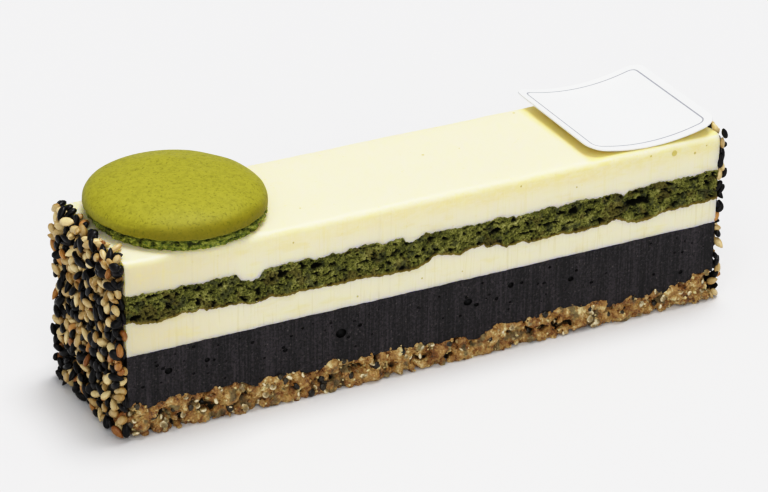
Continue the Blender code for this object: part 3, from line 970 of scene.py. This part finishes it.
sesame = {
    "perEnd": {"Left": 520, "Right": 400},
    "overTop": {"Left": 60, "Right": 0},  # tries, those with room of their own are kept
    "shadeSheet": (0.25, 2.4, 33.4, 17.6),  # a dark sheet behind the seeds, painted shade between them: thickness, less wide than the bar, height, its middle's height
    "within": ((-14.4, 14.4), (0.9, 36.3)),  # Y and Z of the seeds' middles
    "tries": 16,
    "mapStart": (-15.5, -1.0),  # Y and Z of the map of the coat's thickness
    "mapSize": (31.0, 38.0),
    "cell": 0.25,
    "window": 15,  # cells that a seed can reach
    "windowReach": 1.8,
    "raised": 0.4,  # share of the seeds that stand up from the coat
    "shares": (("black", 0.51), ("pale", 0.41), ("toasted", 0.08)),
    "black": (screen(12, 11, 12), screen(27, 24, 25)),
    "pale": (screen(162, 127, 70), screen(243, 221, 166)),
    "toasted": (screen(140, 90, 44), screen(208, 156, 90)),
    # colours of the painted shade in the gaps between the seeds
    "shadeSheetColours": (screen(40, 28, 20), screen(24, 18, 15)),
}


def seedFinish(name, roughness, specular):
    finish = Finish(name)
    dark, light = sesame[name]
    fine = finish.grain(0.9, 3.0)
    # painted shade: each seed darker towards its rim
    edge = finish.between(finish.noted("rim"), 0.55, 1.0, 0.0, 0.35)
    colour = finish.blend(finish.noted("tone") * 0.8 + (fine - 0.3) * 0.6 - edge, dark, light)
    finish.relief(finish.grain(0.5, 2.0), 0.05)
    return finish.set(colour=colour, roughness=roughness, specular=specular)


def tryPlace(heights, halfLong, halfWide, halfThick, draw):
    # a seed lying on the coat at some place and turn, and how far out its middle comes
    cell, starts, window = sesame["cell"], sesame["mapStart"], sesame["window"]
    y, z = [draw.uniform(low, high) for low, high in sesame["within"]]
    angle = draw.uniform(0, math.tau)
    lows = [max(0, int((at - start - sesame["windowReach"]) / cell)) for at, start in zip((y, z), starts)]
    patch = heights[lows[0]:lows[0] + window, lows[1]:lows[1] + window]
    offY, offZ = [
        (np.arange(low, low + size) + 0.5) * cell + start - at
        for low, size, start, at in zip(lows, patch.shape, starts, (y, z))
    ]
    gridY, gridZ = np.meshgrid(offY, offZ, indexing="ij")
    along = (gridY * math.cos(angle) + gridZ * math.sin(angle)) / halfLong
    across = (gridZ * math.cos(angle) - gridY * math.sin(angle)) / halfWide
    domed = np.clip(1 - along ** 2 - across ** 2, 0, 1)
    inside = domed > 0.02
    bulge = halfThick * np.sqrt(domed)
    return (patch + bulge)[inside].max(), y, z, angle, patch, inside, bulge, gridY, gridZ


def layOut(amount, draw):
    # drops the seeds one by one on the coat so far, each where it lies lowest of a few tries
    heights = np.zeros([int(size / sesame["cell"]) for size in sesame["mapSize"]])
    laid = []
    for count in range(amount):
        scale = draw.uniform(0.86, 1.08)
        halves = [0.5 * seedShape[side] * scale for side in ("length", "width", "thickness")]
        tries = [tryPlace(heights, *halves, draw) for attempt in range(sesame["tries"])]
        centre, y, z, angle, patch, inside, bulge, gridY, gridZ = min(tries, key=lambda found: found[0])
        slopeY, slopeZ = [
            float((patch[inside] * off[inside]).sum() / max(1e-6, (off[inside] ** 2).sum()))
            for off in (gridY, gridZ)
        ]
        centre = max(0.35, centre - 0.3 - 0.25 * abs(slopeY) - 0.25 * abs(slopeZ))
        top = centre + bulge + slopeY * gridY + slopeZ * gridZ
        patch[inside] = np.maximum(patch[inside], top[inside])
        tilt = Vector((1, -slopeY + draw.uniform(-0.4, 0.4), -slopeZ + draw.uniform(-0.4, 0.4)))
        if draw.random() < sesame["raised"]:
            tilt = Vector((0.7, draw.uniform(-1, 1), draw.uniform(-1, 1)))
        laid.append((centre, y, z, angle, tilt.normalized(), scale))
    return laid


def turnSeed(out, along, scale):
    # a seed's thickness lies along the first direction and its length near the second
    along = (along - out * along.dot(out)).normalized()
    across = along.cross(out)
    return Matrix((across, out, along)).transposed().to_4x4() @ Matrix.Scale(scale, 4)


def spillOver(amount, reach, putEnd, draw):
    # seeds that lie over the top edge of the cream, clear of the macaron's foot
    low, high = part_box("macaron_shell")
    puts = []
    for count in range(amount):
        out = Vector((draw.uniform(-0.2, 0.9), draw.uniform(-0.5, 0.5), 1.0)).normalized()
        angle = draw.uniform(0, math.tau)
        turn = turnSeed(out, Vector((math.cos(angle), math.sin(angle), 0)), draw.uniform(0.86, 1.06))
        inward, y = draw.uniform(-0.6, 0.9) * mm, draw.uniform(-13.3, 13.3) * mm
        spot = Vector((reach - inward, y, bar["top"] + draw.uniform(0.1, 0.5) * mm))
        put = putEnd @ Matrix.Translation(spot) @ turn
        away = put.translation - (low + high) / 2
        crowded = any((put.translation - other.translation).length < 1.9 * mm for other in puts)
        if not crowded and math.hypot(away.x, away.y) > (macaron["foot"] + 1.3) * mm:
            puts.append(put)
    return puts


def makeSesame(side, seedKinds, finishes, draw):
    endName = "Left" if side < 0 else "Right"
    node = "sesame_" + endName.lower()
    reach = bar["length"] / 2 + 0.05 * mm
    names, shares = zip(*sesame["shares"])
    groups = {name: [] for name in names}
    putEnd = Matrix.Translation(onBar(0, 0, 0))
    if side < 0:
        putEnd = putEnd @ Matrix.Rotation(math.pi, 4, "Z")
    for centre, y, z, angle, out, scale in layOut(sesame["perEnd"][endName], draw):
        turn = turnSeed(out, Vector((0, math.cos(angle), math.sin(angle))), scale)
        kind = draw.choice(seedKinds)
        low = min((turn @ point.co).z for point in kind.data.vertices)
        spot = Vector((reach + centre * mm, y * mm, max(z * mm, 0.03 * mm - low)))
        name = draw.choices(names, shares)[0]
        groups[name].append(copyOf(kind, putEnd @ Matrix.Translation(spot) @ turn, draw.random()))
    for put in spillOver(sesame["overTop"][endName], reach, putEnd, draw):
        name = draw.choices(names, shares)[0]
        groups[name].append(copyOf(draw.choice(seedKinds), put, draw.random()))
    for name in names:
        piece = joinAll(name + "Sesame" + endName, groups[name])
        place(piece, finishes[name], node)
    # a dark sheet behind the seeds, so that the gaps between them show painted shade
    thick, narrower, tall, middle = sesame["shadeSheet"]
    spot = (bar["middleX"] + side * (reach + 0.5 * thick * mm), bar["middleY"], middle * mm)
    bpy.ops.mesh.primitive_cube_add(size=1.0, location=spot)
    shadeSheet = justAdded("sesameBed" + endName)
    shadeSheet.scale = (thick * mm, bar["width"] - narrower * mm, tall * mm)
    setDown(shadeSheet)
    editAll(shadeSheet)
    bpy.ops.mesh.bevel(offset=0.1 * mm, segments=2, affect="EDGES")
    bpy.ops.mesh.subdivide(number_cuts=3)
    leaveEdit()
    place(shadeSheet, finishes["shadeSheet"], node)


# painted shade for the gaps between the seeds
def shadeSheetFinish():
    finish = Finish("sesameBed")
    fine = finish.grain(0.8, 4.0)
    finish.relief(fine, 0.2)
    return finish.set(colour=finish.blend(fine, *sesame["shadeSheetColours"]), roughness=0.6)


# Macaron shell

macaron = {
    "radius": 17.2,
    "base": 2.6,
    "rise": 4.9,
    "power": 2.6,
    "lip": [(17.05, 2.45), (16.95, 2.3), (16.75, 2.2), (16.5, 2.15), (16.25, 2.1), (16.0, 2.0)],
    "foot": 16.5,
    "floor": [(14.6, 0.0), (10.0, 0.0), (0.0, 0.0)],
    "oval": 0.022,
    "ovalTurn": -76,
    "around": 400,
    "top": screen(168, 163, 56),
    # colour of the painted shade low on the dome
    "rim": screen(134, 125, 32),
    "fleck": screen(102, 102, 24),
    "footLight": screen(176, 180, 92),
    "footMiddle": screen(136, 144, 64),
    "footDark": screen(82, 98, 44),
    # near black, painted shade under the dome's lip and in the foot's hollows
    "hollow": screen(22, 30, 8),
}


def macaronFinish():
    finish = Finish("macaronShell")
    height = finish.axis("Z") - bar["top"] / mm
    broad = finish.grain(4.0, 3.0)
    fine = finish.grain(0.5, 5.0, roughness=0.7)
    # painted shade: darker low on the dome, most on the slopes that face front and back
    paintedRimShade = finish.between(height + broad * 1.6, 4.4, 8.6, 1.0, 0.0)
    paintedRimShade = paintedRimShade * finish.between(finish.facing("Y"), 0.3, 0.8, 0.25, 1.0)
    specks = finish.grain(0.55, 2.0, (1.0, 1.0, 1.0), 0.5, (3, 8, 1))
    flecks = finish.between(specks, 0.57, 0.7, 0.0, 0.5)
    mottle = finish.between(fine * 0.5 + finish.grain(1.1, 3.0) * 0.5, 0.44, 0.6, 0.0, 0.24)
    foot = finish.ramp(finish.grain(0.7, 4.0, roughness=0.7), (
        (0.38, macaron["footDark"]), (0.5, macaron["footMiddle"]), (0.62, macaron["footLight"]),
    ))
    # painted shade where the foot is pushed in and under the lip
    hollow = finish.between(finish.noted("sunk"), 0.15, 0.9, 0.0, 0.92)
    colour = finish.layers(
        macaron["top"], (paintedRimShade, macaron["rim"]), (mottle, macaron["fleck"]), (flecks, macaron["fleck"]),
        (finish.between(height, 2.15, 2.5, 1.0, 0.0), foot), (hollow, macaron["hollow"]),
    )
    finish.relief(fine * 0.7 + finish.grain(1.4, 2.0) * 0.6, 0.1)
    return finish.set(colour=colour, roughness=0.5, specular=0.2)


def makeMacaron(finish):
    low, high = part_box("macaron_shell")
    bpy.ops.mesh.primitive_circle_add(vertices=3, radius=mm)
    shell = justAdded("macaronDome")
    shell.data.clear_geometry()
    profile = []
    for step in range(41):
        angle = math.pi / 2 * step / 40
        out = macaron["radius"] * math.sin(angle) ** (2 / macaron["power"])
        profile.append((out, macaron["base"] + macaron["rise"] * math.cos(angle) ** (2 / macaron["power"])))
    profile += macaron["lip"]
    for step in range(15):
        share = step / 14
        out = macaron["foot"] - 0.5 + 0.5 * math.sin(math.pi * min(1.0, share * 1.25) ** 0.8)
        profile.append((out, 1.8 - 1.78 * share))
    profile += macaron["floor"]
    points = [(out * mm, 0, height * mm) for out, height in profile]
    edges = [(number, number + 1) for number in range(len(points) - 1)]
    shell.data.from_pydata(points, edges, [])
    editAll(shell)
    bpy.ops.mesh.spin(steps=macaron["around"], angle=math.tau, center=(0, 0, 0), axis=(0, 0, 1))
    bpy.ops.mesh.select_all(action="SELECT")
    bpy.ops.mesh.remove_doubles(threshold=0.001 * mm)
    bpy.ops.mesh.normals_make_consistent(inside=False)
    leaveEdit()
    places = readPoints(shell)
    sunk = np.zeros(len(places))
    for number, spot in enumerate(places):
        x, y, z = spot / mm
        out = math.hypot(x, y)
        angle = math.atan2(y, x)
        grown = 1 + macaron["oval"] * math.cos(2 * (angle - math.radians(macaron["ovalTurn"])))
        if z < 1.95 and out > 14.4:
            near = noise.voronoi(Vector((x / 1.25, y / 1.25, z / 1.0)))[0]
            bubble = min(1.0, (near[1] - near[0]) / 0.4)
            torn = fuzz(x, y, z * 0.6, 1.5) + 0.5 * fuzz(x, y, z, 0.6)
            push = min(0.4, 0.55 * bubble - 0.4 + 0.6 * torn)
            push *= 0.45 + 0.55 * min(1.0, z / 0.5)
            grown += push / out
            sunk[number] = 0.8 * max(0.0, -push)
            spot[0] += 0.1 * mm
            spot[1] -= 0.35 * mm
        elif z < 2.3 and out > 14.4:
            # marks the band under the lip for painted shade
            sunk[number] = 0.7
            spot[2] += 0.15 * fuzz(x, y, 0, 1.3) * mm
        elif out > 15.5 and z < macaron["base"] + 0.4:
            spot[2] += 0.16 * fuzz(x, y, 0, 1.7) * mm
        elif z > 4:
            spot[2] += 0.1 * fuzz(x, y, 0, 6.0) * mm
        spot[0] *= grown
        spot[1] *= grown
    writePoints(shell, places)
    note(shell, "sunk", sunk)
    shell.location = ((low.x + high.x) / 2 - 0.35 * mm, (low.y + high.y) / 2, bar["top"] + 0.02 * mm)
    setDown(shell)
    shell.data.shade_smooth()
    place(shell, finish, "macaron_shell")


# Card

card = {
    "length": 28.9,
    "width": 31.9,
    "thickness": 0.28,
    "corner": 3.3,
    "bend": 45.0,
    "lowLine": -1.4,
    "x": 48.1,
    "y": 2.45,
    "turn": -1.9,
    "border": 1.66,
    "line": 0.34,
    "strips": 48,
    "paper": (0.86, 0.86, 0.855),
    "ink": (screen(176, 176, 182), screen(146, 146, 154)),
}


def paperFinish():
    finish = Finish("card")
    finish.relief(finish.grain(0.5, 4.0), 0.02)
    return finish.set(
        colour=card["paper"], roughness=0.5, specular=0.3, glow=0.3, glowSize=0.6 * mm,
        glowReach=(1.0, 1.0, 0.9),
    )


def inkFinish():
    finish = Finish("cardLine")
    return finish.set(colour=finish.blend(finish.grain(0.4, 3.0), *card["ink"]), roughness=0.5)


def makeCard(paper, ink):
    bpy.ops.mesh.primitive_cube_add(size=1.0)
    sheet = justAdded("bowedCard")
    sheet.scale = (card["length"] * mm, card["width"] * mm, card["thickness"] * mm)
    setDown(sheet)
    pick(sheet, "EDGE", lambda edge: len({point.z > 0 for point in ends(sheet, edge)}) == 2)  # uprights
    bpy.ops.mesh.bevel(offset=card["corner"] * mm, segments=8, profile=0.5, affect="EDGES")
    leaveEdit()
    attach(sheet, "root")
    sheet.data.materials.append(paper.material)
    sheet.data.materials.append(ink.material)
    pick(sheet, "FACE", lambda face: face.normal.z > 0.9)
    for width, finish in ((card["border"], 1), (card["line"], 0)):  # the ring between the insets is ink
        bpy.ops.mesh.inset(thickness=width * mm)
        sheet.active_material_index = finish
        bpy.ops.object.material_slot_assign()
    for step in range(1, card["strips"]):
        bpy.ops.mesh.select_all(action="SELECT")
        bpy.ops.mesh.bisect(
            plane_co=(card["length"] * (step / card["strips"] - 0.5) * mm, 0, 0), plane_no=(1, 0, 0),
        )
    leaveEdit()
    places = readPoints(sheet)
    for spot in places:
        angle = (spot[0] / mm - card["lowLine"]) / card["bend"]
        reach = card["bend"] - spot[2] / mm - card["thickness"] / 2
        spot[0] = reach * math.sin(angle) * mm
        spot[2] = (card["bend"] - reach * math.cos(angle)) * mm
    writePoints(sheet, places)
    sheet.rotation_euler = (0, 0, math.radians(card["turn"]))
    sheet.location = onBar(card["x"], card["y"], bar["top"] / mm + 0.05)
    setDown(sheet)
    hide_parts("paper_card")


setCamera()
setStudio()
print("camera, table and light are set")

creamMaterial = creamFinish()
makeUpperCream(creamMaterial)
makeLowerCream(creamMaterial)
print("both cream layers are made")
makeGanache(ganacheFinish())
print("the ganache is made")
makeSponge(spongeFinish())
print("the sponge is made")

seedDraw = random.Random(3)
seedKinds = [
    makeSeedKind("seed", longer, wider, seedDraw)
    for longer, wider in ((1.0, 1.0), (0.92, 1.08), (1.08, 0.92), (0.98, 0.9))
]
seedFinishes = {
    "black": seedFinish("black", 0.38, 0.3),
    "pale": seedFinish("pale", 0.34, 0.5),
    "toasted": seedFinish("toasted", 0.34, 0.5),
    "shadeSheet": shadeSheetFinish(),
}
makeSesame(-1, seedKinds, seedFinishes, random.Random(31))
makeSesame(1, seedKinds, seedFinishes, random.Random(32))
print("the seeds are made")
dispose(seedKinds)
makeCrunch()
print("the crunch is made")
makeMacaron(macaronFinish())
print("the macaron shell is made")
makeCard(paperFinish(), inkFinish())
print("the card is made")
